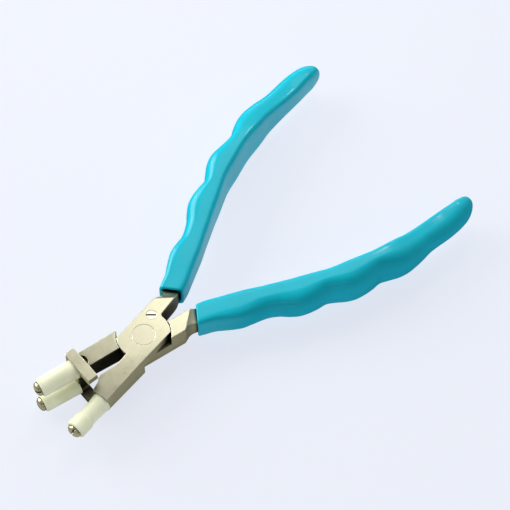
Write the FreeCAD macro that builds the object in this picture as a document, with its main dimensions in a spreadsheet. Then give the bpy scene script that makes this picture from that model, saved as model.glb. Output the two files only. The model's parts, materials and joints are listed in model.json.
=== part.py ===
# Lap-joint eyewear bending pliers with one nylon peg on the upper half and two on the crosshead.
# Own frame, millimetres: origin on the pivot axis at the underside of the joint, +Y to the handles,
# +Z up. Each half is drawn about mid thickness in its own jaw frame (x across the jaw, -y towards
# the jaw tip), turned about Z and lifted. The upper half's handle is on -x, the lower half's on +x.
import FreeCAD, Part
import math, os
import Sketcher
from FreeCAD import Vector, Rotation, Placement

SIZES = {
    # halves at rest, degrees
    "turn_upper": 7.2,
    "turn_lower": 10.6,
    # joint and jaws
    "joint_half": 4.27,             # half thickness of the whole joint
    "jaw_tip_half": 3.55,           # half thickness at the jaw tips
    "jaw_taper_start": 8.6,         # distance from the pivot where the jaws start to thin
    "lap_half_w": 5.7,              # half width of the lap bodies
    "lap_gap": 0.01,                # half of the gap between the lap faces
    "disc_rad": 8.3,                # round ends of the lap
    "recess_rad": 8.55,             # milled recess that clears the other half
    "jaw_len": 23.4,                # pivot to jaw tip
    "tip_inner_w": 0.1,             # x of the upper jaw's tip corners
    "pad_root_w": 0.28,             # x where the upper jaw's inner pad starts
    "tip_outer_w": 5.6,
    "bulge_w": 1.6,                 # how far the pad's nose stands over the centre line
    "pad_nose": 1.5,                # fillet on the nose
    "lower_inner_w": 0.2,           # lower jaw's inner side, over the centre line
    # necks
    "neck_half": 2.9,               # half thickness of the tang
    "ramp_rad": 7.0,                # cutter radius of the step down to the tang
    "ramp_dir": 42.0,               # direction of that cut across the neck, degrees
    "ramp_run": 4.0,                # cutter axis beyond the ramp's start
    "crotch_fillet": 1.0,
    "pad_fillet": 6.0,              # fillet where the pad starts
    # pivot pin
    "pin_rad": 2.6,
    "pin_head_rad": 3.5,
    "pin_head_deep": 1.1,
    "pin_gap": 0.03,                # clearance in the upper half
    # set screw in the upper half's lap
    "set_screw_x": -2.64,
    "set_screw_y": 6.63,
    "set_screw_rad": 1.55,
    "set_screw_slot": 0.45,
    "set_screw_slot_deep": 0.7,
    "set_screw_turn": 39.0,
    # crosshead, in its own frame
    "head_turn": 6.5,               # degrees off square to its jaw
    "head_left": -7.8,
    "head_right": 3.95,
    "head_back": -20.25,
    "head_front": -23.7,
    "head_half": 9.0,
    "head_slot_left": -2.0,
    "head_slot_half": 6.7,
    "head_corner": 0.6,
    "head_slot_corner": 0.8,
    # pegs
    "twin_w": -1.1,                 # twin pegs: across the lower jaw
    "twin_z": 5.2,                  # and above or below mid plane
    "twin_seat": 23.55,             # distance from the pivot to their seats
    "twin_base_rad": 3.2,
    "twin_tip_rad": 2.98,
    "spot_rad": 3.3,
    "peg_end": 35.7,                # distance from the pivot to the far end of every peg
    "single_w": 3.45,
    "single_rad": 3.15,
    "single_waist_rad": 2.75,
    "peg_edge": 0.35,
    "peg_bore_rad": 1.35,
    # peg screws
    "screw_rad": 1.23,
    "screw_hole_rad": 1.25,
    "screw_head_rad": 2.25,
    "screw_head_high": 1.6,
    "screw_slot": 0.6,
    "screw_slot_deep": 1.15,
    "screw_grip_twin": 2.6,         # thread length inside the crosshead
    "screw_grip_single": 7.0,       # thread length inside the upper jaw
    # tangs and grips
    "tang_in": 2.1,                 # tang width to the inner side of the handle line
    "tang_out": 1.9,                # and to the outer side
    "grip_wall": 1.05,
    "mouth_deep": 5.0,
    "mouth_x": 6.0,                 # a point on the slanted open end
    "mouth_y": 16.45,
    "mouth_turn": 38.0,             # slant of the open end, degrees
    "grip_outer_power": 2.45,       # roundness of the outer side; 2 is an ellipse
    "grip_crest_power": 0.35,       # added per millimetre of crest, taken away in the grooves
    "grip_outer_least": 2.0,
    "grip_inner_power": 6.0,        # the inner side is nearly flat
    "grip_tip_outer_power": 2.2,
    "grip_tip_inner_power": 2.3,
}

# Handle centre line at rest (x outwards, y up the handle), the grip's reach either side of it,
# its half height, and how much further out the right grip reaches.
COLUMNS = ("line_x", "line_y", "reach_out", "reach_in", "half_high", "right_more")
LINE = [
    (4.91, 12.00, 3.10, 3.95, 4.55, 0.00), (5.79, 14.87, 3.15, 4.05, 4.60, 0.00),
    (6.83, 17.68, 3.45, 4.16, 4.71, 0.00), (8.01, 20.44, 3.62, 4.25, 4.82, 0.00),
    (9.29, 23.16, 4.28, 4.12, 4.96, 0.00), (10.64, 25.83, 4.79, 4.07, 5.15, 0.07),
    (12.04, 28.49, 4.98, 4.10, 5.28, 0.23), (13.48, 31.12, 4.37, 4.18, 5.35, 0.58),
    (14.94, 33.74, 3.67, 4.11, 5.41, 1.03), (16.42, 36.35, 3.55, 4.06, 5.50, 0.83),
    (17.88, 38.97, 3.87, 4.06, 5.66, 0.79), (19.34, 41.59, 4.72, 4.02, 5.86, 0.71),
    (20.77, 44.23, 5.31, 4.00, 6.08, 0.52), (22.16, 46.88, 5.10, 3.99, 6.33, 0.50),
    (23.52, 49.56, 4.32, 3.88, 6.59, 0.71), (24.82, 52.26, 3.49, 3.69, 6.84, 0.73),
    (26.06, 54.99, 4.25, 3.49, 7.07, 0.17), (27.23, 57.76, 5.09, 3.54, 7.26, 0.00),
    (28.33, 60.55, 5.18, 3.72, 7.42, 0.23), (29.34, 63.37, 4.38, 3.72, 7.52, 0.83),
    (30.26, 66.23, 3.59, 3.60, 7.55, 1.08), (31.08, 69.11, 3.28, 3.45, 7.50, 0.54),
    (31.81, 72.02, 4.21, 3.50, 7.36, 0.05), (32.44, 74.96, 4.95, 3.61, 7.12, 0.14),
    (32.98, 77.91, 5.22, 3.57, 6.76, 0.18), (33.43, 80.87, 5.03, 3.34, 6.30, 0.12),
    (33.79, 83.85, 4.69, 3.34, 5.78, 0.07), (34.09, 86.84, 4.22, 3.41, 5.30, 0.01),
    (34.32, 89.83, 4.10, 3.45, 4.92, 0.10), (34.50, 92.82, 4.25, 3.44, 4.67, 0.11),
    (34.62, 95.82, 4.39, 3.36, 4.54, 0.09), (34.66, 98.82, 4.42, 3.06, 4.68, 0.00),
    (34.60, 101.30, 4.26, 2.70, 4.80, 0.00), (34.48, 103.40, 3.97, 2.45, 4.78, 0.00),
    (34.36, 105.20, 3.36, 2.12, 4.36, 0.00), (34.24, 106.60, 2.60, 1.76, 3.68, 0.00),
    (34.16, 107.50, 1.85, 1.36, 2.75, 0.00), (34.12, 108.00, 0.98, 0.78, 1.42, 0.00),
]

NODES = ["upper_half", "lower_half", "pivot_pin", "joint_set_screw", "crosshead", "upper_peg",
         "lower_peg", "single_peg", "twin_peg_screws", "single_peg_screw", "left_grip",
         "right_grip"]

UP = Vector(0, 0, 1)
CLEAR = 0.5         # slot cuts start this far outside the screw


# ---------------------------------------------------------------- driving dimensions
os.makedirs("parts", exist_ok=True)
doc = FreeCAD.newDocument("bending_pliers")
sheet = doc.addObject("Spreadsheet::Sheet", "Sizes")


def write_cell(cell, alias, value):
    sheet.set(cell, str(value))
    sheet.setAlias(cell, alias)


for row, (key, value) in enumerate(SIZES.items(), 1):
    sheet.set("A%d" % row, key)
    write_cell("B%d" % row, key, value)
for i, readings in enumerate(LINE):
    for letter, column, value in zip("BCDEFG", COLUMNS, readings):
        write_cell("%s%d" % (letter, len(SIZES) + 1 + i), "%s_%d" % (column, i), value)
doc.recompute()


class Size:
    """A number with the sheet formula that gives it; sums and multiples carry both."""

    def __init__(self, value, formula):
        self.value = value
        self.formula = formula

    def __float__(self):
        return self.value

    def __add__(self, other):
        formula = other.formula if isinstance(other, Size) else "(%.6f)" % other
        return Size(self.value + float(other), "%s + %s" % (self.formula, formula))

    def __mul__(self, factor):
        return Size(self.value * factor, "(%.6f) * (%s)" % (factor, self.formula))

    def __neg__(self):
        return self * -1

    def __sub__(self, other):
        return self + -other

    __radd__ = __add__
    __rmul__ = __mul__


class Dimensions:
    """dim.joint_half is the Size under that alias in the sheet."""

    def __getattr__(self, name):
        return Size(float(sheet.get(name)), "Sizes." + name)


dim = Dimensions()
UPPER_TURN = dim.turn_upper
LOWER_TURN = -dim.turn_lower


def station(column, i):
    return getattr(dim, "%s_%d" % (column, i))


def bind(obj, path, value):
    """ties a property to the sheet if the value comes from it"""
    if isinstance(value, Size):
        obj.setExpression(path, value.formula)


# ---------------------------------------------------------------- sketches
def sketch(body, name, role="XY_Plane", x=0, y=0, z=0, turn=0):
    made = body.newObject("Sketcher::SketchObject", name)
    origin_plane = [o for o in body.Origin.OriginFeatures if o.Role == role][0]
    made.AttachmentSupport = [(origin_plane, "")]
    made.MapMode = "FlatFace"
    made.AttachmentOffset = Placement(Vector(float(x), float(y), float(z)),
                                      Rotation(UP, float(turn)))
    for path, value in (("Base.x", x), ("Base.y", y), ("Base.z", z), ("Rotation.Angle", turn)):
        bind(made, "AttachmentOffset." + path, value)
    return made


def constrain(profile, value, kind, *where):
    i = profile.addConstraint(Sketcher.Constraint(kind, *where, float(value)))
    bind(profile, "Constraints[%d]" % i, value)


def outline(profile, points):
    """closed outline; a point is (x, y), or (x, y, "ccw" or "cw") where the edge leaving it
    turns round the origin"""
    count = len(points)
    places = [(float(p[0]), float(p[1])) for p in points]
    edges = []      # geometry index, start vertex, end vertex
    for i, point in enumerate(points):
        start, end = places[i], places[(i + 1) % count]
        if len(point) > 2:
            angle_0 = math.atan2(start[1], start[0])
            angle_1 = math.atan2(end[1], end[0])
            clockwise = point[2] == "cw"
            if clockwise:
                angle_0, angle_1 = angle_1, angle_0
            while angle_1 < angle_0:
                angle_1 += 2 * math.pi
            full = Part.Circle(Vector(0, 0, 0), UP, math.hypot(*start))
            edge = profile.addGeometry(Part.ArcOfCircle(full, angle_0, angle_1), False)
            edges.append((edge, 2, 1) if clockwise else (edge, 1, 2))
            profile.addConstraint(Sketcher.Constraint("Coincident", edge, 3, -1, 1))
        else:
            line = Part.LineSegment(Vector(*start, 0), Vector(*end, 0))
            edges.append((profile.addGeometry(line, False), 1, 2))
    for i, (edge, _, end) in enumerate(edges):
        following, start, _ = edges[(i + 1) % count]
        profile.addConstraint(Sketcher.Constraint("Coincident", edge, end, following, start))
    for i, point in enumerate(points):
        edge, start, _ = edges[i]
        constrain(profile, point[0], "DistanceX", -1, 1, edge, start)
        # the far end of an arc already has its distance from the origin
        if len(points[i - 1]) == 2:
            constrain(profile, point[1], "DistanceY", -1, 1, edge, start)


def circle(profile, x, y, radius):
    shape = Part.Circle(Vector(float(x), float(y), 0), UP, float(radius))
    edge = profile.addGeometry(shape, False)
    constrain(profile, x, "DistanceX", -1, 1, edge, 3)
    constrain(profile, y, "DistanceY", -1, 1, edge, 3)
    constrain(profile, radius, "Radius", edge)


# ---------------------------------------------------------------- bodies and features
def new_body(name, turn):
    """body turned about the pivot and lifted so that the joint's underside is z = 0"""
    body = doc.addObject("PartDesign::Body", name)
    body.Label = name
    body.Placement = Placement(Vector(0, 0, float(dim.joint_half)), Rotation(UP, float(turn)))
    bind(body, "Placement.Base.z", dim.joint_half)
    bind(body, "Placement.Rotation.Angle", turn)
    doc.recompute()
    return body


def add_feature(body, kind, name, **values):
    feature = body.newObject("PartDesign::" + kind, name)
    for key, value in values.items():
        setattr(feature, key, float(value) if isinstance(value, Size) else value)
        bind(feature, key, value)
    if "Profile" in values:
        values["Profile"].Visibility = False
    return feature


def finish(body, feature, cuts=False):
    """makes the feature the body's tip; a cut has to take something away"""
    before = body.Shape.Volume if cuts else 0
    body.Tip = feature
    doc.recompute()
    if cuts and not body.Shape.Volume < before - 1e-4:
        raise RuntimeError("%s cuts nothing" % feature.Name)


def extrude(body, kind, name, profile, length, midplane=False, reverse=False):
    """kind is Pad, along the sketch's normal, or Pocket, against it"""
    feature = add_feature(body, kind, name, Profile=profile, Length=length, Midplane=midplane,
                          Reversed=reverse)
    finish(body, feature, cuts=kind == "Pocket")


def turn_profile(body, kind, name, profile):
    """kind is Revolution or Groove, all the way round the sketch's vertical axis"""
    feature = add_feature(body, kind, name, Profile=profile,
                          ReferenceAxis=(profile, ["V_Axis"]), Angle=360)
    finish(body, feature, cuts=kind == "Groove")


def cut_cylinder(body, name, radius, height, x, y, z, direction):
    start = Vector(x, y, float(z))
    tool = add_feature(body, "SubtractiveCylinder", name, Radius=radius, Height=height,
                       Placement=Placement(start, Rotation(UP, direction)))
    bind(tool, "Placement.Base.z", z)
    finish(body, tool, cuts=True)


def cut_slot(body, name, profile, half_length, width, depth):
    """driver slot; the sketch stands CLEAR outside the screw's end"""
    half_width = 0.5 * width
    outline(profile, [(-half_length, -half_width), (half_length, -half_width),
                      (half_length, half_width), (-half_length, half_width)])
    extrude(body, "Pocket", name, profile, depth + CLEAR)


def edge_names(body, chosen):
    """edges of the body's tip, in its own frame, whose two end points pass the test"""
    names = []
    for i, edge in enumerate(body.Tip.Shape.Edges, 1):
        if chosen(edge.Vertexes[0].Point, edge.Vertexes[-1].Point):
            names.append("Edge%d" % i)
    return names


def fillet(body, name, radius, chosen):
    names = edge_names(body, chosen)
    if not names:
        raise RuntimeError("%s has no edges" % name)
    finish(body, add_feature(body, "Fillet", name, Base=(body.Tip, names), Radius=radius))


def upright_at(*spots):
    """test for upright edges standing over the given (x, y) spots"""
    def chosen(a, b):
        upright = abs(a.x - b.x) < 1e-4 and abs(a.y - b.y) < 1e-4 and abs(a.z - b.z) > 0.5
        return upright and any(math.hypot(a.x - float(x), a.y - float(y)) < 0.05
                               for x, y in spots)
    return chosen


# ---------------------------------------------------------------- the two halves
# side is +1 for the upper half (handle on -x) and -1 for the lower half (handle on +x)
RAMP_START = (5.16, 12.1)       # outwards, up the handle
RAMP_LENGTH = 40
CONE_INSIDE = 0.6               # the pin's cone runs from this far inside its head depth
CONE_OUTSIDE = 0.3              # to this far outside it
TANG_STATIONS = [1, 2, 4, 6, 8, 10, 13, 16, 19, 22, 25, 28, 31]
TANG_TAPER = {28: 0.85, 31: 0.65}       # share of the full width at the last stations


def disc_y(x):
    """height of the lap's round end over x"""
    return math.sqrt(float(dim.disc_rad) ** 2 - float(x) ** 2)


def outward_normal(i):
    """outward normal of the handle line at station i"""
    before = LINE[max(i - 1, 0)]
    after = LINE[min(i + 1, len(LINE) - 1)]
    dx, dy = after[0] - before[0], after[1] - before[1]
    length = math.hypot(dx, dy)
    return dy / length, -dx / length


def half_blank(name, side, turn, jaw, neck):
    """jaw and neck are outline points; the upper half keeps the top of the lap, the lower half
    the bottom"""
    body = new_body(name, turn)
    arc = "ccw" if side > 0 else "cw"
    corner_y = disc_y(dim.lap_half_w)
    profile = sketch(body, name + "_outline")
    outline(profile, [(-side * dim.lap_half_w, -corner_y, arc)] + jaw
            + [(side * dim.lap_half_w, corner_y, arc)] + neck)
    extrude(body, "Pad", name + "_blank", profile, 2 * dim.joint_half, midplane=True)
    # half-lap recess: the other half turns in here
    profile = sketch(body, name + "_lap", z=side * dim.lap_gap)
    circle(profile, 0, 0, dim.recess_rad)
    extrude(body, "Pocket", name + "_recess", profile, 2 * dim.joint_half, reverse=side < 0)
    return body


def thin_jaw(body):
    """both faces of the jaw thin evenly towards the tip"""
    for face, k in (("top", 1), ("under", -1)):
        profile = sketch(body, "%s_taper_%s" % (body.Name, face), "YZ_Plane")
        outside = k * (dim.joint_half + 1)
        outline(profile, [(-dim.jaw_taper_start, k * dim.joint_half),
                          (-dim.jaw_taper_start, outside),
                          (-dim.jaw_len, outside),
                          (-dim.jaw_len, k * dim.jaw_tip_half)])
        extrude(body, "Pocket", "%s_thin_%s" % (body.Name, face), profile, 40, midplane=True)


def ramp_neck(body, side):
    """the neck steps down to the tang on both faces through a round cutter's sweep"""
    angle = math.radians(float(dim.ramp_dir))
    along = Vector(side * math.cos(angle), math.sin(angle), 0)
    across = Vector(-side * math.sin(angle), math.cos(angle), 0)
    start = (Vector(-side * RAMP_START[0], RAMP_START[1], 0)
             + across * float(dim.ramp_run) - along * (RAMP_LENGTH / 2))
    for face, k in (("top", 1), ("under", -1)):
        cut_cylinder(body, "%s_ramp_%s" % (body.Name, face), dim.ramp_rad, RAMP_LENGTH,
                     start.x, start.y, k * (dim.neck_half + dim.ramp_rad), along)


def add_tang(body, side, turn):
    """flat tang along the handle line, drawn in the pliers' frame"""
    outer, inner = [], []
    for i in TANG_STATIONS:
        normal_x, normal_y = outward_normal(i)
        share = TANG_TAPER.get(i, 1.0)
        for points, reach in ((outer, dim.tang_out), (inner, -dim.tang_in)):
            points.append((-side * (station("line_x", i) + reach * (normal_x * share)),
                           station("line_y", i) + reach * (normal_y * share)))
    profile = sketch(body, body.Name + "_tang_line", turn=-turn)
    outline(profile, outer + inner[::-1])
    extrude(body, "Pad", body.Name + "_tang", profile, 2 * dim.neck_half, midplane=True)


def bore_pivot(body, side):
    """bore for the pin, countersunk from the half's outer face"""
    gap = dim.pin_gap if side > 0 else 0
    bore_rad = dim.pin_rad + gap
    sink_rad = dim.pin_head_rad + gap
    sink_z = side * (dim.joint_half - dim.pin_head_deep)
    outside = side * (dim.joint_half + 1)
    profile = sketch(body, body.Name + "_bore_line", "XZ_Plane")
    outline(profile, [(0, 0), (bore_rad, 0), (bore_rad, sink_z - side * CONE_INSIDE),
                      (sink_rad, sink_z + side * CONE_OUTSIDE - gap),
                      (sink_rad, outside), (0, outside)])
    turn_profile(body, "Groove", body.Name + "_bore", profile)


def finish_half(body, side, turn, crotch_x):
    thin_jaw(body)
    ramp_neck(body, side)
    add_tang(body, side, turn)
    fillet(body, body.Name + "_crotch", dim.crotch_fillet,
           upright_at((crotch_x, disc_y(crotch_x))))
    bore_pivot(body, side)


def make_upper_half():
    root_x = 0.13
    crotch_x = -0.45
    pad_root = (dim.pad_root_w, -12.7)
    nose = (-dim.bulge_w, -18.9)
    nose_end = (-0.45, -20.4)
    body = half_blank(
        "upper_half", 1, UPPER_TURN,
        jaw=[(root_x, -disc_y(root_x)), pad_root, nose, nose_end,
             (dim.tip_inner_w, -dim.jaw_len), (dim.tip_outer_w, -dim.jaw_len)],
        neck=[(crotch_x, disc_y(crotch_x)), (-1.05, 16.6), (-2.2, 20.2), (-5.6, 17.1),
              (-4.95, 14.4), (-5.05, 13.3), (-dim.lap_half_w, 11.3)])
    fillet(body, "upper_half_pad", dim.pad_fillet, upright_at(pad_root))
    fillet(body, "upper_half_nose", dim.pad_nose, upright_at(nose, nose_end))
    finish_half(body, 1, UPPER_TURN, crotch_x)

    # threaded hole of the set screw, through the lap
    profile = sketch(body, "set_screw_hole_line")
    circle(profile, dim.set_screw_x, dim.set_screw_y, dim.set_screw_rad + 0.02)
    extrude(body, "Pocket", "set_screw_hole", profile, 10, reverse=True)

    # threaded hole of the single peg's screw, into the jaw's end
    profile = sketch(body, "single_hole_line", "XZ_Plane", z=dim.jaw_len)
    circle(profile, dim.single_w, 0, dim.screw_hole_rad)
    extrude(body, "Pocket", "single_hole", profile, dim.screw_grip_single + 0.6)
    return body


def make_lower_half():
    crotch_x = 0.2
    head_angle = math.radians(float(dim.head_turn))

    def jaw_end(x):
        """point of the jaw's end, which lies on the crosshead's back plane"""
        return x, float(dim.head_back) / math.cos(head_angle) + float(x) * math.tan(head_angle)

    body = half_blank(
        "lower_half", -1, LOWER_TURN,
        jaw=[(-dim.lower_inner_w, -disc_y(dim.lower_inner_w)),
             (-dim.lower_inner_w, jaw_end(-dim.lower_inner_w)[1]),
             (-dim.lap_half_w, jaw_end(-dim.lap_half_w)[1])],
        neck=[(crotch_x, disc_y(crotch_x)), (0.1, 16.6), (1.5, 20.6), (5.3, 17.3),
              (4.5, 14.4), (4.6, 13.3), (dim.lap_half_w - 0.15, 11.3)])
    finish_half(body, -1, LOWER_TURN, crotch_x)

    # cutter run-out on the jaw's top face, at the back of the crosshead
    profile = sketch(body, "notch_line", z=dim.jaw_tip_half - 0.75)
    circle(profile, -2.7, -20.55, 2.15)
    extrude(body, "Pocket", "notch", profile, 3, reverse=True)
    return body


# ---------------------------------------------------------------- joint hardware
def make_pivot_pin():
    body = new_body("pivot_pin", LOWER_TURN)
    head_z = dim.joint_half - dim.pin_head_deep
    profile = sketch(body, "pin_line", "XZ_Plane")
    outline(profile, [(0, -dim.joint_half), (dim.pin_head_rad, -dim.joint_half),
                      (dim.pin_head_rad, -(head_z + CONE_OUTSIDE)),
                      (dim.pin_rad, -(head_z - CONE_INSIDE)),
                      (dim.pin_rad, head_z - CONE_INSIDE),
                      (dim.pin_head_rad, head_z + CONE_OUTSIDE),
                      (dim.pin_head_rad, dim.joint_half), (0, dim.joint_half)])
    turn_profile(body, "Revolution", "pin_turned", profile)


def make_set_screw():
    body = new_body("joint_set_screw", UPPER_TURN)
    end_gap = 0.05      # above the lap face
    sunk = 0.03         # below the joint's top
    profile = sketch(body, "set_screw_line", z=dim.lap_gap + end_gap)
    circle(profile, dim.set_screw_x, dim.set_screw_y, dim.set_screw_rad)
    extrude(body, "Pad", "set_screw_blank", profile,
            dim.joint_half - dim.lap_gap - (end_gap + sunk))
    profile = sketch(body, "set_screw_slot_line", x=dim.set_screw_x, y=dim.set_screw_y,
                     z=dim.joint_half + CLEAR, turn=dim.set_screw_turn)
    cut_slot(body, "set_screw_slot_cut", profile, 2, dim.set_screw_slot,
             dim.set_screw_slot_deep)


# ---------------------------------------------------------------- crosshead
def make_crosshead():
    """upright plate on the lower jaw's end, slotted in from its +x side"""
    body = new_body("crosshead", dim.head_turn - dim.turn_lower)
    profile = sketch(body, "head_line", "XZ_Plane", z=-dim.head_back)
    outline(profile, [(dim.head_left, -dim.head_half), (dim.head_right, -dim.head_half),
                      (dim.head_right, -dim.head_slot_half),
                      (dim.head_slot_left, -dim.head_slot_half),
                      (dim.head_slot_left, dim.head_slot_half),
                      (dim.head_right, dim.head_slot_half),
                      (dim.head_right, dim.head_half), (dim.head_left, dim.head_half)])
    extrude(body, "Pad", "head_blank", profile, dim.head_back - dim.head_front)
    fillet(body, "head_corner_round", dim.head_corner,
           upright_at((dim.head_left, dim.head_front)))

    slot_x, slot_z = float(dim.head_slot_left), float(dim.head_slot_half)

    def slot_corner(a, b):
        return (abs(a.x - slot_x) < 1e-3 and abs(b.x - slot_x) < 1e-3
                and abs(a.z - b.z) < 1e-3 and abs(abs(a.z) - slot_z) < 1e-3)

    fillet(body, "head_slot_round", dim.head_slot_corner, slot_corner)

    # seats and threaded holes of the twin pegs, square to the pegs and so a little off square
    # to the plate
    to_head = Rotation(UP, -float(dim.head_turn))
    along = to_head.multVec(Vector(0, -1, 0))
    seat_y = -float(dim.twin_seat)
    for level, k in (("upper", 1), ("lower", -1)):
        for what, radius, start_y, height in (("seat", dim.spot_rad, seat_y, 5.0),
                                              ("hole", dim.screw_hole_rad, seat_y + 5.0, 12.0)):
            start = to_head.multVec(Vector(float(dim.twin_w), start_y, 0))
            cut_cylinder(body, "%s_peg_%s" % (level, what), radius, height,
                         start.x, start.y, k * dim.twin_z, along)


# ---------------------------------------------------------------- nylon pegs
# waist of the single peg: share of the length from its seat, share of the full waist depth
WAIST = [(0.07, 0.15), (0.20, 0.55), (0.36, 0.88), (0.50, 1.0), (0.59, 0.88), (0.615, 0.30),
         (0.66, 0.10)]


def make_peg(name, turn, x, z, seat, base_rad, tip_rad, between=()):
    """between: (share of the length from the seat, radius)"""
    body = new_body(name, turn)
    profile = sketch(body, name + "_line", x=x, z=z)
    end_y = -dim.peg_end
    points = [(dim.peg_bore_rad, -seat), (base_rad, -seat)]
    for share, radius in between:
        points.append((radius, seat * -(1 - share) + end_y * share))
    points += [(tip_rad, end_y + dim.peg_edge), (tip_rad - dim.peg_edge, end_y),
               (dim.peg_bore_rad, end_y)]
    outline(profile, points)
    turn_profile(body, "Revolution", name + "_turned", profile)


def make_pegs():
    for name, z in (("upper_peg", dim.twin_z), ("lower_peg", -dim.twin_z)):
        make_peg(name, LOWER_TURN, dim.twin_w, z, dim.twin_seat,
                 dim.twin_base_rad, dim.twin_tip_rad)
    waist = [(share, dim.single_rad * (1 - depth) + dim.single_waist_rad * depth)
             for share, depth in WAIST]
    make_peg("single_peg", UPPER_TURN, dim.single_w, 0, dim.jaw_len,
             dim.single_rad, dim.single_rad, waist)


# ---------------------------------------------------------------- peg screws
DOME_ANGLES = (0, 18, 36, 54, 70, 82)
RIM_SHARE = 0.3         # straight rim's share of the head height; the dome has the rest


def make_screw(name, turn, x, z, seat, thread, slot_turn):
    body = new_body(name, turn)
    profile = sketch(body, name + "_line", x=x, z=z)
    head_y = -dim.peg_end
    thread_y = thread - seat
    points = [(0, thread_y), (dim.screw_rad, thread_y), (dim.screw_rad, head_y),
              (dim.screw_head_rad, head_y)]
    for degrees in DOME_ANGLES:
        angle = math.radians(degrees)
        share = RIM_SHARE + (1 - RIM_SHARE) * math.sin(angle)
        points.append((math.cos(angle) * dim.screw_head_rad,
                       head_y - share * dim.screw_head_high))
    points.append((0, head_y - dim.screw_head_high))
    outline(profile, points)
    turn_profile(body, "Revolution", name + "_turned", profile)
    profile = sketch(body, name + "_slot_line", "XZ_Plane", x=x, y=z,
                     z=dim.peg_end + dim.screw_head_high + CLEAR, turn=slot_turn)
    cut_slot(body, name + "_slot_cut", profile, 3, dim.screw_slot, dim.screw_slot_deep)
    return body


def make_screws():
    pair = [make_screw(name, LOWER_TURN, dim.twin_w, z, dim.twin_seat, dim.screw_grip_twin,
                       slot_turn)
            for name, z, slot_turn in (("twin_screw_a", dim.twin_z, 35),
                                       ("twin_screw_b", -dim.twin_z, -20))]
    compound = doc.addObject("Part::Compound", "twin_peg_screws")
    compound.Label = "twin_peg_screws"
    compound.Links = pair
    make_screw("single_peg_screw", UPPER_TURN, dim.single_w, 0, dim.jaw_len,
               dim.screw_grip_single, 77)
    doc.recompute()


# ---------------------------------------------------------------- grips
SECTION_POINTS = 32
OPEN_END_POWER = 6.0        # the open end is squarer
BORE_INNER_POWER = 7.0
BORE_STATIONS = 5


def section(i, side, outer_power, inner_power, more=0.0, shrink=0.0):
    """closed curve square to the handle line, with its own roundness on each side"""
    x, y, outer, inner, high = (float(station(column, i)) for column in COLUMNS[:5])
    normal_x, normal_y = outward_normal(i)
    points = []
    for j in range(SECTION_POINTS):
        angle = 2 * math.pi * j / SECTION_POINTS
        cosine, sine = math.cos(angle), math.sin(angle)
        if cosine >= 0:
            power, reach = outer_power, outer + more - shrink
        else:
            power, reach = inner_power, inner - shrink
        out = reach * math.copysign(abs(cosine) ** (2.0 / power), cosine)
        z = (high - shrink) * math.copysign(abs(sine) ** (2.0 / power), sine)
        points.append(Vector(-side * (x + normal_x * out), y + normal_y * out, z))
    curve = Part.BSplineCurve()
    curve.interpolate(Points=points, PeriodicFlag=True)
    return Part.Wire([curve.toShape()])


def crest(i):
    """how far the outer reach stands over (crest) or under (groove) its own slow run"""
    total = weights = 0.0
    for j in range(-5, 6):
        weight = 0.5 + 0.5 * math.cos(math.pi * j / 6)
        total += weight * float(station("reach_out", min(max(i + j, 0), len(LINE) - 1)))
        weights += weight
    return float(station("reach_out", i)) - total / weights


def blend(i, first):
    """0 up to the first station, rising to 1 seven stations on"""
    return min(1.0, max(0.0, (i - first) / 7.0))


def grip_section(i, side):
    body, tip = blend(i, 1), blend(i, 29)
    crested = max(float(dim.grip_outer_least),
                  float(dim.grip_outer_power) + float(dim.grip_crest_power) * crest(i))
    outer_power = ((OPEN_END_POWER + (crested - OPEN_END_POWER) * body) * (1 - tip)
                   + float(dim.grip_tip_outer_power) * tip)
    inner_power = (float(dim.grip_inner_power) * (1 - tip)
                   + float(dim.grip_tip_inner_power) * tip)
    more = float(station("right_more", i)) if side < 0 else 0.0
    return section(i, side, outer_power, inner_power, more=more)


def mouth_block(side, depth):
    """block over the open end, its slanted face this deep inside the mouth"""
    block = Part.makeBox(60, 30 + depth, 40, Vector(-30, -30, -20))
    block.Placement = Placement(Vector(-side * float(dim.mouth_x), float(dim.mouth_y), 0),
                                Rotation(UP, side * float(dim.mouth_turn)))
    return block


def make_grip(name, side, half):
    solid = Part.makeLoft([grip_section(i, side) for i in range(len(LINE))], True, False)
    solid = solid.cut(mouth_block(side, 0))
    # a shallow wider mouth around the tang
    bore = Part.makeLoft([section(i, side, OPEN_END_POWER, BORE_INNER_POWER,
                                  shrink=float(dim.grip_wall))
                          for i in range(BORE_STATIONS)], True, False)
    solid = solid.cut(bore.common(mouth_block(side, float(dim.mouth_deep))))
    core = half.Shape.copy()
    core.translate(Vector(0, 0, -float(dim.joint_half)))
    solid = solid.cut(core)
    grip = doc.addObject("Part::Feature", name)
    grip.Label = name
    grip.Shape = max(solid.Solids, key=lambda piece: piece.Volume)
    grip.Placement = Placement(Vector(0, 0, float(dim.joint_half)), Rotation())
    bind(grip, "Placement.Base.z", dim.joint_half)


# ---------------------------------------------------------------- build, check and write
upper = make_upper_half()
lower = make_lower_half()
make_pivot_pin()
make_set_screw()
make_crosshead()
make_pegs()
make_screws()
make_grip("left_grip", 1, upper)
make_grip("right_grip", -1, lower)
doc.recompute()

for item in doc.Objects:
    if "Invalid" in item.State or "Error" in item.State:
        raise RuntimeError("%s is %s" % (item.Name, item.State))
for name in NODES:
    shape = doc.getObject(name).Shape
    if shape.isNull() or not shape.isValid():
        raise RuntimeError("%s is not valid" % name)
    if name != "twin_peg_screws" and len(shape.Solids) != 1:
        raise RuntimeError("%s has %d solids" % (name, len(shape.Solids)))
    shape.exportStep("parts/%s.step" % name)
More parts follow.
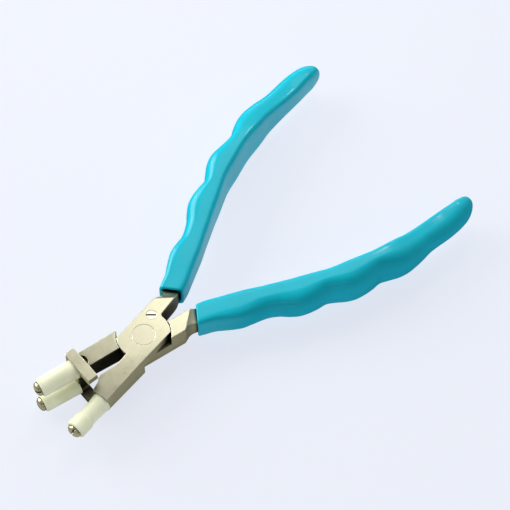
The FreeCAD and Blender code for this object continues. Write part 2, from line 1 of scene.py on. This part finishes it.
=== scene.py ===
# Bending pliers lying flat: the head is near the origin, the handles bow out along +y
# (left on -x, right on +x) and z points up. The steel and the pegs are the CAD pieces with
# procedural materials; the steel also gets broken edges. Both grips are built here as new meshes.
import bpy, bmesh
import json, math
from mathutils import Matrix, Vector


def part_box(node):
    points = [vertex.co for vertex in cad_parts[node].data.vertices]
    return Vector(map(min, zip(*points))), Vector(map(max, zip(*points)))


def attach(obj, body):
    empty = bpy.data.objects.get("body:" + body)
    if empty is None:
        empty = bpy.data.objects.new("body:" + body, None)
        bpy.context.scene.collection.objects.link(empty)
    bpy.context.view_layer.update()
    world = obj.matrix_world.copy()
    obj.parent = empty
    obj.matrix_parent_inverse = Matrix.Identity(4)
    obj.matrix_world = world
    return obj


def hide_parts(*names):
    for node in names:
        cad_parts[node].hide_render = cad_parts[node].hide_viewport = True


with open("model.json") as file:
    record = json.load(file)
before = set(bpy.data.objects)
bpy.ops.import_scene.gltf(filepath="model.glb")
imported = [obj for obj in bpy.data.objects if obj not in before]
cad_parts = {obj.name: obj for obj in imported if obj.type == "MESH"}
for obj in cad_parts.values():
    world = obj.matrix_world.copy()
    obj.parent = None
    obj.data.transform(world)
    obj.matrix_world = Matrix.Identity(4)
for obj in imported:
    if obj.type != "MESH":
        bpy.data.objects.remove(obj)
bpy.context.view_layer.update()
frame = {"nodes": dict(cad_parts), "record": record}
nodes = frame["nodes"]
half_lo, half_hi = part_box("upper_half")
MM = 0.001                              # the scene is in metres
MID_Z = (half_lo.z + half_hi.z) / 2     # middle plane of both grips


def new_object(name, data):
    obj = bpy.data.objects.new(name, data)
    bpy.context.scene.collection.objects.link(obj)
    return obj


# ------------------------------------------------------------------ node helpers
def rgba(colour, factor=1.0):
    return (*(channel * factor for channel in colour), 1)


class Nodes:
    """Shorthand for building the node tree of a material or a world."""

    def __init__(self, owner, clear=False):
        owner.use_nodes = True
        self.tree = owner.node_tree
        if clear:
            self.tree.nodes.clear()

    def feed(self, node, inputs):
        """Link or set each input, given by name or number."""
        for key, value in inputs.items():
            if isinstance(value, bpy.types.NodeSocket):
                self.tree.links.new(value, node.inputs[key])
            else:
                node.inputs[key].default_value = value

    def add(self, kind, inputs=None, **settings):
        node = self.tree.nodes.new("ShaderNode" + kind)
        for key, value in settings.items():
            setattr(node, key, value)
        self.feed(node, inputs or {})
        return node

    def math(self, operation, a, b=0.0):
        return self.add("Math", {0: a, 1: b}, operation=operation).outputs[0]

    def times(self, a, b):
        return self.math("MULTIPLY", a, b)

    def dot(self, a, b):
        return self.add("VectorMath", {0: a, 1: b}, operation="DOT_PRODUCT").outputs["Value"]

    def split(self, vector):
        return self.add("SeparateXYZ", {0: vector}).outputs

    def geometry(self, output):
        return self.add("NewGeometry").outputs[output]

    def mix(self, fac, a, b):
        return self.add("MixRGB", {"Fac": fac, "Color1": a, "Color2": b}).outputs["Color"]

    def remap(self, value, source, target=(0.0, 1.0), smooth=False):
        """Carry the source range onto the target range, straight or with eased ends."""
        inputs = {
            "Value": value,
            "From Min": source[0],
            "From Max": source[1],
            "To Min": target[0],
            "To Max": target[1],
        }
        kind = "SMOOTHSTEP" if smooth else "LINEAR"
        return self.add("MapRange", inputs, interpolation_type=kind).outputs["Result"]

    def openness(self, distance, samples=8):
        """1 in the open, towards 0 where other surfaces stand within the distance."""
        occlusion = self.add("AmbientOcclusion", {"Distance": distance}, samples=samples)
        return occlusion.outputs["AO"]

    def choose(self, ray, otherwise, chosen):
        """Show one shader to one kind of ray and another to all the rest."""
        is_ray = self.add("LightPath").outputs[ray]
        return self.add("MixShader", {0: is_ray, 1: otherwise, 2: chosen}).outputs[0]


class Surface(Nodes):
    """A Principled material textured in object coordinates."""

    def __init__(self, name):
        self.material = bpy.data.materials.new(name)
        super().__init__(self.material)
        self.bsdf = next(n for n in self.tree.nodes if n.type == "BSDF_PRINCIPLED")
        self.place = self.add("TexCoord").outputs["Object"]

    def principled(self, inputs):
        self.feed(self.bsdf, inputs)

    def noise(self, scale, detail, roughness, vector=None):
        inputs = {
            "Vector": self.place if vector is None else vector,
            "Scale": scale,
            "Detail": detail,
            "Roughness": roughness,
        }
        return self.add("TexNoise", inputs).outputs["Fac"]

    def stretch(self, scale, turn=0.0):
        inputs = {"Vector": self.place, "Rotation": (0, 0, turn), "Scale": scale}
        return self.add("Mapping", inputs).outputs["Vector"]

    def two_tone(self, cloud, dark, light):
        return self.mix(self.remap(cloud, source=(0.35, 0.65)), rgba(dark), rgba(light))

    def blend(self, a, weight_a, b, weight_b):
        return self.math("ADD", self.times(a, weight_a), self.times(b, weight_b))

    def bump(self, height, strength, distance, normal=None):
        inputs = {"Strength": strength, "Distance": distance, "Height": height}
        if normal is not None:
            inputs["Normal"] = normal
        return self.add("Bump", inputs).outputs["Normal"]

    def edge(self, radius):
        """Rounded normal, and a mask that is 1 on a convex or concave edge."""
        rounded = self.add("Bevel", {"Radius": radius}, samples=6).outputs["Normal"]
        agreement = self.dot(rounded, self.geometry("Normal"))
        return rounded, self.remap(agreement, source=(0.995, 0.80))


# ------------------------------------------------------------------ materials
def steel(name, base, worn_and_lit, rough, brush_turn, grain, edge_radius,
          reach=10 * MM, dark=(0.040, 0.034, 0.008), painted_shade_span=(0.34, 0.86)):
    """Brushed steel: edges worn and lightened with a painted highlight, and painted shade where
    other metal stands within reach.
    """
    s = Surface(name)
    rounded, edge = s.edge(edge_radius)
    # handling and polish, satin grain, long grinding marks
    cloud = s.noise(scale=170, detail=5, roughness=0.6)
    blast = s.noise(scale=5200, detail=3, roughness=0.7)
    brushed = s.stretch(scale=(70, 4, 70), turn=brush_turn)
    lines = s.noise(scale=60, detail=6, roughness=0.65, vector=brushed)

    tone = s.two_tone(cloud, dark=[channel * 0.86 for channel in base], light=base)
    marks = s.remap(lines, source=(0.42, 0.66), target=(0.0, 0.55))
    tone = s.mix(marks, tone, rgba(base, factor=0.78))
    # edges worn bright and given a painted highlight: the edge mask carries the colour towards
    # the pale edge colour
    tone = s.mix(s.times(edge, 0.95), tone, rgba(worn_and_lit))
    # painted shade: the colour darkens towards the dark colour where other surfaces stand within
    # reach
    clear = s.remap(s.openness(reach), source=painted_shade_span, smooth=True)
    tone = s.mix(clear, rgba(dark), tone)

    mottle = s.blend(cloud, 0.6, lines, 0.4)
    roughness = s.remap(mottle, source=(0.32, 0.68), target=rough)
    normal = s.bump(lines, strength=0.10 * grain, distance=0.02 * MM, normal=rounded)
    normal = s.bump(blast, strength=0.16 * grain, distance=0.012 * MM, normal=normal)
    s.principled({
        "Base Color": tone,
        "Metallic": 1.0,
        "Roughness": s.math("SUBTRACT", roughness, s.times(edge, 0.10)),
        "Normal": normal,
    })
    return s.material


def nylon():
    s = Surface("nylon_natural")
    cloud = s.noise(scale=260, detail=4, roughness=0.55)
    # faint turning marks round the peg
    turned = s.stretch(scale=(6, 160, 6))
    lathe = s.noise(scale=40, detail=3, roughness=0.6, vector=turned)
    pits = s.noise(scale=2600, detail=3, roughness=0.6)
    rounded, edge = s.edge(0.2 * MM)
    tone = s.two_tone(cloud, dark=(0.72, 0.73, 0.51), light=(0.82, 0.83, 0.62))
    tone = s.mix(s.times(edge, 0.5), tone, (0.78, 0.79, 0.62, 1))

    # painted light: an emission glow in place of light falling on the nylon, with painted shade
    # where it stands in a seat, near a neighbour or faces down
    clear = s.remap(s.openness(11 * MM), source=(0.40, 0.95))
    facing_up = s.split(s.geometry("Normal"))["Z"]
    painted_glow = s.times(clear, s.remap(facing_up, source=(-0.6, 0.8), target=(0.15, 1.0)))

    normal = s.bump(lathe, strength=0.10, distance=0.02 * MM, normal=rounded)
    s.principled({
        "Base Color": tone,
        "Roughness": s.remap(cloud, source=(0.3, 0.7), target=(0.34, 0.48)),
        "Subsurface Weight": 0.30,
        "Subsurface Radius": (1.0, 1.0, 0.65),
        "Subsurface Scale": 0.8 * MM,
        # the glow is painted light, its colour running from near black in the painted shade to
        # pale
        "Emission Color": s.mix(painted_glow, (0.05, 0.047, 0.008, 1), (0.74, 0.79, 0.62, 1)),
        "Emission Strength": 0.33,
        "Normal": s.bump(pits, strength=0.06, distance=0.01 * MM, normal=normal),
    })
    return s.material


def vinyl():
    s = Surface("grip_vinyl")
    cloud = s.noise(scale=55, detail=4, roughness=0.5)
    peel = s.noise(scale=620, detail=2, roughness=0.5)      # slightly uneven dipped skin
    fine = s.noise(scale=4200, detail=3, roughness=0.6)
    # lighter on the most convex crests: rubbed wear and a painted highlight
    worn_and_lit = s.remap(s.geometry("Pointiness"), source=(0.50, 0.56))
    tone = s.two_tone(cloud, dark=(0.0, 0.500, 0.660), light=(0.0, 0.560, 0.735))
    mottle = s.blend(cloud, 0.7, fine, 0.3)
    normal = s.bump(peel, strength=0.10, distance=0.05 * MM)
    s.principled({
        "Base Color": s.mix(s.times(worn_and_lit, 0.35), tone, (0.0, 0.60, 0.77, 1)),
        "Roughness": s.remap(mottle, source=(0.35, 0.65), target=(0.33, 0.45)),
        "Subsurface Weight": 0.06,
        "Subsurface Scale": 0.8 * MM,
        "IOR": 1.45,
        "Specular IOR Level": 0.08,
        "Coat Weight": 0.45,
        "Coat Roughness": 0.16,
        "Normal": s.bump(fine, strength=0.05, distance=0.01 * MM, normal=normal),
    })
    return s.material


# material slot of the CAD record: material
MATERIALS = {
    "satin_steel": steel(
        "satin_steel", base=(0.71, 0.69, 0.515), worn_and_lit=(0.96, 0.95, 0.80),
        rough=(0.24, 0.40), brush_turn=0.15, grain=1.9, edge_radius=0.32 * MM),
    "pin_steel": steel(
        "pin_steel", base=(0.71, 0.68, 0.52), worn_and_lit=(0.76, 0.73, 0.58),
        rough=(0.25, 0.40), brush_turn=0.9, grain=1.2, edge_radius=0.12 * MM),
    "screw_steel": steel(
        "screw_steel", base=(0.86, 0.81, 0.58), worn_and_lit=(0.95, 0.92, 0.78),
        rough=(0.10, 0.20), brush_turn=0.0, grain=0.5, edge_radius=0.12 * MM,
        # painted shade round the screws: a short reach and a deeper dark colour
        reach=1.6 * MM, dark=(0.030, 0.024, 0.004), painted_shade_span=(0.45, 0.95)),
    "nylon": nylon(),
    "grip_vinyl": vinyl(),
}
for row in frame["record"]["subparts"]:
    slots = nodes[row["node"]].data.materials
    slots.clear()
    slots.append(MATERIALS[row["material_slot"]])


# ------------------------------------------------------------------ metal edges
EDGE_WIDTHS = {     # millimetres
    "upper_half": 0.22,
    "lower_half": 0.22,
    "crosshead": 0.30,
    "pivot_pin": 0.008,
    "joint_set_screw": 0.07,
    "single_peg_screw": 0.08,
    "twin_peg_screws": 0.08,
}


def break_edges(obj, width):
    """Join split vertices, merge the triangles of flat faces and round the sharp edges."""
    join = obj.modifiers.new("join", "WELD")
    join.merge_threshold = 0.002 * MM
    flats = obj.modifiers.new("flats", "DECIMATE")
    flats.decimate_type = "DISSOLVE"
    flats.angle_limit = math.radians(0.4)
    bevel = obj.modifiers.new("edges", "BEVEL")
    bevel.width = width
    bevel.segments = 3
    bevel.limit_method = "ANGLE"
    bevel.angle_limit = math.radians(32)
    bevel.use_clamp_overlap = True
    bevel.harden_normals = False
    bevel.miter_outer = "MITER_ARC"
    shade = obj.modifiers.new("shade", "WEIGHTED_NORMAL")
    shade.keep_sharp = False
    shade.weight = 80


for name, width in EDGE_WIDTHS.items():
    break_edges(nodes[name], width * MM)


# ------------------------------------------------------------------ grips
# Handle line at rest, in millimetres. Columns: x outwards, y along, reach to the outer side,
# reach to the inner side, half height, how much further out the right grip reaches.
LINE = [
    (4.91, 12.00, 3.10, 3.95, 4.55, 0.00), (5.79, 14.87, 3.15, 4.05, 4.60, 0.00),
    (6.83, 17.68, 3.45, 4.16, 4.71, 0.00), (8.01, 20.44, 3.62, 4.25, 4.82, 0.00),
    (9.29, 23.16, 4.28, 4.12, 4.96, 0.00), (10.64, 25.83, 4.79, 4.07, 5.15, 0.07),
    (12.04, 28.49, 4.98, 4.10, 5.28, 0.23), (13.48, 31.12, 4.37, 4.18, 5.35, 0.58),
    (14.94, 33.74, 3.67, 4.11, 5.41, 1.03), (16.42, 36.35, 3.55, 4.06, 5.50, 0.83),
    (17.88, 38.97, 3.87, 4.06, 5.66, 0.79), (19.34, 41.59, 4.72, 4.02, 5.86, 0.71),
    (20.77, 44.23, 5.31, 4.00, 6.08, 0.52), (22.16, 46.88, 5.10, 3.99, 6.33, 0.50),
    (23.52, 49.56, 4.32, 3.88, 6.59, 0.71), (24.82, 52.26, 3.49, 3.69, 6.84, 0.73),
    (26.06, 54.99, 4.25, 3.49, 7.07, 0.17), (27.23, 57.76, 5.09, 3.54, 7.26, 0.00),
    (28.33, 60.55, 5.18, 3.72, 7.42, 0.23), (29.34, 63.37, 4.38, 3.72, 7.52, 0.83),
    (30.26, 66.23, 3.59, 3.60, 7.55, 1.08), (31.08, 69.11, 3.28, 3.45, 7.50, 0.54),
    (31.81, 72.02, 4.21, 3.50, 7.36, 0.05), (32.44, 74.96, 4.95, 3.61, 7.12, 0.14),
    (32.98, 77.91, 5.22, 3.57, 6.76, 0.18), (33.43, 80.87, 5.03, 3.34, 6.30, 0.12),
    (33.79, 83.85, 4.69, 3.34, 5.78, 0.07), (34.09, 86.84, 4.22, 3.41, 5.30, 0.01),
    (34.32, 89.83, 4.10, 3.45, 4.92, 0.10), (34.50, 92.82, 4.25, 3.44, 4.67, 0.11),
    (34.62, 95.82, 4.39, 3.36, 4.54, 0.09), (34.66, 98.82, 4.42, 3.06, 4.68, 0.00),
    (34.60, 101.30, 4.26, 2.70, 4.80, 0.00), (34.48, 103.40, 3.97, 2.45, 4.78, 0.00),
    (34.36, 105.20, 3.36, 2.12, 4.36, 0.00), (34.24, 106.60, 2.60, 1.76, 3.68, 0.00),
    (34.16, 107.50, 1.85, 1.36, 2.75, 0.00), (34.12, 108.00, 0.98, 0.78, 1.42, 0.00),
]
STEPS = 7               # fine stations per row of the line
AROUND = 112            # points round each cross-section
DENSE = 960             # points of the curve they are spaced out on
CREST_WINDOW = 5        # rows to each side that make up the slow run of the outer reach

# the mouth is a slanting plane; lengths in millimetres, x outwards
WALL = 1.05
MOUTH = (6.0, 16.45)
MOUTH_TURN = math.radians(38)
MOUTH_AXIS = (math.sin(MOUTH_TURN), math.cos(MOUTH_TURN), 0.0)      # points up the handle
MOUTH_DEPTH = 5.0
DEPTH_FRACTIONS = (1.0, 0.7, 0.4, 0.2)      # rows of the mouth's wall, from its floor outwards
LIP = 0.5
LIP_STEPS = 8
SETTLE_ROWS = 10        # rows in which the skin passes from the slanting lip to the stations

# powers of the cross-section: 2 is an ellipse, higher is squarer
MOUTH_POWER = 6.0
TIP_OUTER_POWER, TIP_INNER_POWER = 2.2, 2.3
LINING_POWERS = (6.0, 7.0)
# where the powers change, in rows of the line
ROUND_FROM, TIP_FROM, CHANGE_ROWS = 1, 29, 7
LINING_ROWS = 6


def lerp(a, b, fraction):
    return [p + (q - p) * fraction for p, q in zip(a, b)]


def catmull_rom(p0, p1, p2, p3, t):
    """Smooth blend from p1 to p2."""
    return 0.5 * ((2 * p1) + (-p0 + p2) * t + (2 * p0 - 5 * p1 + 4 * p2 - p3) * t * t
                  + (-p0 + 3 * p1 - 3 * p2 + p3) * t ** 3)


def crest(i):
    """How far the outer reach stands over (crest) or under (groove) its own slow run."""
    total = weight = 0.0
    for j in range(-CREST_WINDOW, CREST_WINDOW + 1):
        share = 0.5 + 0.5 * math.cos(math.pi * j / (CREST_WINDOW + 1))
        total += share * LINE[min(max(i + j, 0), len(LINE) - 1)][2]
        weight += share
    return LINE[i][2] - total / weight


def fine_line(extra):
    """In-between stations: x, y, reaches, half height, row, outer power, outward normal."""
    rows = []
    for i, (x, y, outer, inner, half_height, more) in enumerate(LINE):
        power = max(2.0, 2.45 + 0.35 * crest(i))        # crests are squarer than grooves
        rows.append((x, y, outer + extra * more, inner, half_height, float(i), power))
    last = len(rows) - 1
    fine = []
    for i in range(last):
        around = rows[max(i - 1, 0)], rows[i], rows[i + 1], rows[min(i + 2, last)]
        for k in range(STEPS):
            fine.append([catmull_rom(*column, k / STEPS) for column in zip(*around)])
    fine.append(rows[-1])

    stations = []
    for k, station in enumerate(fine):
        before, after = fine[max(k - 1, 0)], fine[min(k + 1, len(fine) - 1)]
        dx, dy = after[0] - before[0], after[1] - before[1]
        length = math.hypot(dx, dy)
        stations.append((*station, dy / length, -dx / length))
    return stations


def section(outer, inner, half_height, outer_power, inner_power):
    """Evenly spaced points (reach, z) of the grip's cross-section."""
    def swell(value, power):
        return math.copysign(abs(value) ** (2 / power), value)

    dense = []
    for j in range(DENSE):
        angle = 2 * math.pi * j / DENSE
        across, up = math.cos(angle), math.sin(angle)
        power, reach = (outer_power, outer) if across >= 0 else (inner_power, inner)
        dense.append((reach * swell(across, power), half_height * swell(up, power)))
    dense.append(dense[0])
    run = [0.0]
    for a, b in zip(dense, dense[1:]):
        run.append(run[-1] + math.dist(a, b))

    points, j = [], 0
    for k in range(AROUND):
        want = run[-1] * k / AROUND
        while run[j + 1] < want:
            j += 1
        points.append(lerp(dense[j], dense[j + 1], (want - run[j]) / (run[j + 1] - run[j])))
    return points


def shells(extra):
    """Rings of the outer skin along the whole grip, and of the lining near the mouth."""
    def change(row, start):
        return min(1.0, max(0.0, (row - start) / CHANGE_ROWS))

    skin, lining = [], []
    for x, y, outer, inner, half_height, row, power, out_x, out_y in fine_line(extra):
        def place(points):
            return [(x + out_x * reach, y + out_y * reach, z) for reach, z in points]

        body = MOUTH_POWER + (power - MOUTH_POWER) * change(row, ROUND_FROM)
        tip = change(row, TIP_FROM)
        outer_power = body * (1 - tip) + TIP_OUTER_POWER * tip
        inner_power = MOUTH_POWER * (1 - tip) + TIP_INNER_POWER * tip
        skin.append(place(section(outer, inner, half_height, outer_power, inner_power)))
        if row < LINING_ROWS:
            lining.append(place(section(
                outer - WALL, inner - WALL, half_height - WALL, *LINING_POWERS)))
    return skin, lining


def crossing(rings, j, depth):
    """Where surface line j is `depth` past the mouth's plane, and the next station."""
    def past(point):
        return ((point[0] - MOUTH[0]) * MOUTH_AXIS[0]
                + (point[1] - MOUTH[1]) * MOUTH_AXIS[1] - depth)

    for station in range(1, len(rings)):
        a, b = rings[station - 1][j], rings[station][j]
        if past(a) <= 0 <= past(b):
            return lerp(a, b, -past(a) / (past(b) - past(a))), station
    raise RuntimeError("surface line never crosses the mouth")


def grip_rows(extra):
    """All rows of points in millimetres, from the mouth's floor over the lip to the tip."""
    skin, lining = shells(extra)
    rows = []
    for depth in [MOUTH_DEPTH * fraction for fraction in DEPTH_FRACTIONS] + [LIP]:
        rows.append([crossing(lining, j, depth)[0] for j in range(AROUND)])

    # rolled lip, bulging towards the head
    lip_inside = rows[-1]
    starts = [crossing(skin, j, LIP) for j in range(AROUND)]
    lip_outside = [point for point, _ in starts]
    for k in range(1, LIP_STEPS):
        angle = math.pi * k / LIP_STEPS
        back = LIP * math.sin(angle)
        rows.append([
            [(a + b) / 2 - (b - a) / 2 * math.cos(angle) - axis * back
             for a, b, axis in zip(inside, outside, MOUTH_AXIS)]
            for inside, outside in zip(lip_inside, lip_outside)])
    rows.append(lip_outside)

    # each surface line settles from the lip into the common stations
    first = max(station for _, station in starts) + 2
    for k in range(1, SETTLE_ROWS):
        points = []
        for j, (_, station) in enumerate(starts):
            start = station - 0.5
            position = max(start + (first - start) * (k / SETTLE_ROWS), station)
            near = int(position)
            points.append(lerp(skin[near][j], skin[near + 1][j], position - near))
        rows.append(points)
    return rows + skin[first:]


def grip(name, side, extra, body, replaced):
    """One grip; side is -1 on -x and 1 on +x, extra is the share of the last LINE column."""
    bm = bmesh.new()
    rows = [[bm.verts.new((side * x * MM, y * MM, z * MM + MID_Z)) for x, y, z in points]
            for points in grip_rows(extra)]
    for a, b in zip(rows, rows[1:]):
        for j in range(AROUND):
            k = (j + 1) % AROUND
            bm.faces.new((a[j], a[k], b[k], b[j]))
    bm.faces.new(rows[0][::-1])
    bm.faces.new(rows[-1])
    bmesh.ops.remove_doubles(bm, verts=bm.verts, dist=0.004 * MM)
    bmesh.ops.recalc_face_normals(bm, faces=bm.faces)
    for face in bm.faces:
        face.smooth = True
    mesh = bpy.data.meshes.new(name)
    bm.to_mesh(mesh)
    bm.free()
    obj = new_object(name, mesh)
    mesh.materials.append(MATERIALS["grip_vinyl"])
    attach(obj, body)
    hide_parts(replaced)


grip("left_grip_skin", side=-1, extra=0.0, body="upper", replaced="left_grip")
grip("right_grip_skin", side=1, extra=1.0, body="lower", replaced="right_grip")


# ------------------------------------------------------------------ floor
FLOOR_HALF = 3.0
FLOOR_GAP = 0.0002      # below the lowest piece
# the handles' bow as a parabola on the floor: widest point
BOW_X, BOW_Y = 0.0346, 0.1


def floor_paper():
    """Pale paper to the eye; metal sees its own pattern of light and shade in it."""
    material = bpy.data.materials.new("floor_paper")
    n = Nodes(material, clear=True)
    position = n.split(n.geometry("Position"))
    along = position["Y"]

    # painted light between the handles, painted shade outside them, olive-grey painted shade
    # under the head
    from_peak = n.math("SUBTRACT", 1.0, n.times(along, 1 / BOW_Y))
    bow = n.times(n.math("SUBTRACT", 1.0, n.times(from_peak, from_peak)), BOW_X)
    inside = n.math("SUBTRACT", bow, n.math("ABSOLUTE", position["X"]))
    between = n.times(n.remap(inside, source=(-0.004, 0.003), smooth=True),
                      n.remap(along, source=(0.012, 0.024), smooth=True))
    past_head = n.remap(along, source=(0.014, 0.026), smooth=True)
    outside = n.mix(past_head, (0.41, 0.405, 0.325, 1), (0.015, 0.03, 0.035, 1))
    tint = n.mix(between, outside, (0.80, 0.82, 0.80, 1))
    # painted shade where the tool stands over the floor
    uncovered = n.remap(n.openness(0.030, samples=6), source=(0.25, 0.85), smooth=True)
    mirrored = n.add("Emission", {"Color": tint, "Strength": uncovered}).outputs[0]

    glow = n.add("Emission", {"Color": (0.86, 0.89, 0.985, 1), "Strength": 0.80}).outputs[0]
    paper = n.add("BsdfDiffuse", {"Color": (0.20, 0.207, 0.225, 1)}).outputs[0]
    seen = n.add("AddShader", {0: glow, 1: paper}).outputs[0]
    n.add("OutputMaterial", {0: n.choose("Is Glossy Ray", otherwise=seen, chosen=mirrored)})
    return material


low = min(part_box(name)[0].z for name in nodes)
mesh = bpy.data.meshes.new("floor")
h = FLOOR_HALF
mesh.from_pydata([(-h, -h, 0), (h, -h, 0), (h, h, 0), (-h, h, 0)], [], [(0, 1, 2, 3)])
floor = new_object("floor", mesh)
floor.location = (0, 0, low - FLOOR_GAP)
mesh.materials.append(floor_paper())


# ------------------------------------------------------------------ lights
def area(name, place, target, size, power, colour):
    light = bpy.data.lights.new(name, "AREA")
    light.shape = "RECTANGLE"
    light.size, light.size_y = size
    light.energy = power
    light.color = colour
    obj = new_object(name, light)
    obj.location = place
    aim = Vector(target) - Vector(place)
    obj.rotation_euler = aim.to_track_quat("-Z", "Y").to_euler()


CENTRE = (0.0, 0.04, 0.0)
HEAD = (0.0, 0.0, 0.008)
area("rim", place=(-0.62, 0.62, 0.14), target=CENTRE, size=(0.55, 0.12),
     power=0.5, colour=(1.0, 1.0, 0.98))
area("key", place=(-0.90, -0.22, 0.42), target=CENTRE, size=(0.8, 0.8),
     power=10.5, colour=(1.0, 0.99, 0.955))
area("softbox", place=(-0.089, 0.130, 0.212), target=HEAD, size=(0.13, 0.13),
     power=0.090, colour=(1.0, 0.99, 0.92))
area("gleam", place=(-0.15, 0.33, 0.42), target=(0.0, 0.07, 0.01), size=(0.035, 0.035),
     power=0.13, colour=(1.0, 1.0, 0.98))
area("strip", place=(0.42, -0.34, 0.27), target=HEAD, size=(0.46, 0.05),
     power=0.12, colour=(1.0, 0.98, 0.90))


# ------------------------------------------------------------------ world
def studio():
    world = bpy.data.worlds.new("studio")
    bpy.context.scene.world = world
    n = Nodes(world, clear=True)
    view = n.add("TexCoord").outputs["Generated"]

    def lobe(direction, source, target):
        """A soft patch of the room's light round a direction."""
        facing = n.dot(view, Vector(direction).normalized())
        return n.remap(facing, source, target, smooth=True)

    # brighter overhead and beyond the left handle, dimmer past the head on +x
    overhead = lobe((0, 0, 1), source=(-0.2, 0.9), target=(0.20, 0.36))
    bright = lobe((-0.45, 0.75, 0.50), source=(0.66, 0.98), target=(0.0, 0.45))
    dimmed = lobe((0.65, -0.65, 0.35), source=(0.35, 0.90), target=(1.0, 0.55))
    level = n.times(n.math("ADD", overhead, bright), dimmed)
    room = n.add("Background", {"Color": (1.0, 0.99, 0.955, 1), "Strength": level})
    # only the camera sees this pale tone past the floor's edge; it lights nothing
    pale = n.add("Background", {"Color": (0.80, 0.835, 0.915, 1), "Strength": 1.0})
    seen = n.choose("Is Camera Ray", otherwise=room.outputs[0], chosen=pale.outputs[0])
    n.add("OutputWorld", {0: seen})


studio()


# ------------------------------------------------------------------ camera
lens = bpy.data.cameras.new("camera")
lens.sensor_width = 36.0
lens.lens = 146.823529
lens.clip_start = 0.01
lens.clip_end = 20
camera = new_object("camera", lens)
camera.location = (0.2329792, -0.1757823, 0.5700012)
camera.rotation_euler = (math.radians(29.5), 0, math.radians(46.31))
scene = bpy.context.scene
scene.camera = camera
scene.view_settings.view_transform = "Standard"
scene.view_settings.look = "None"
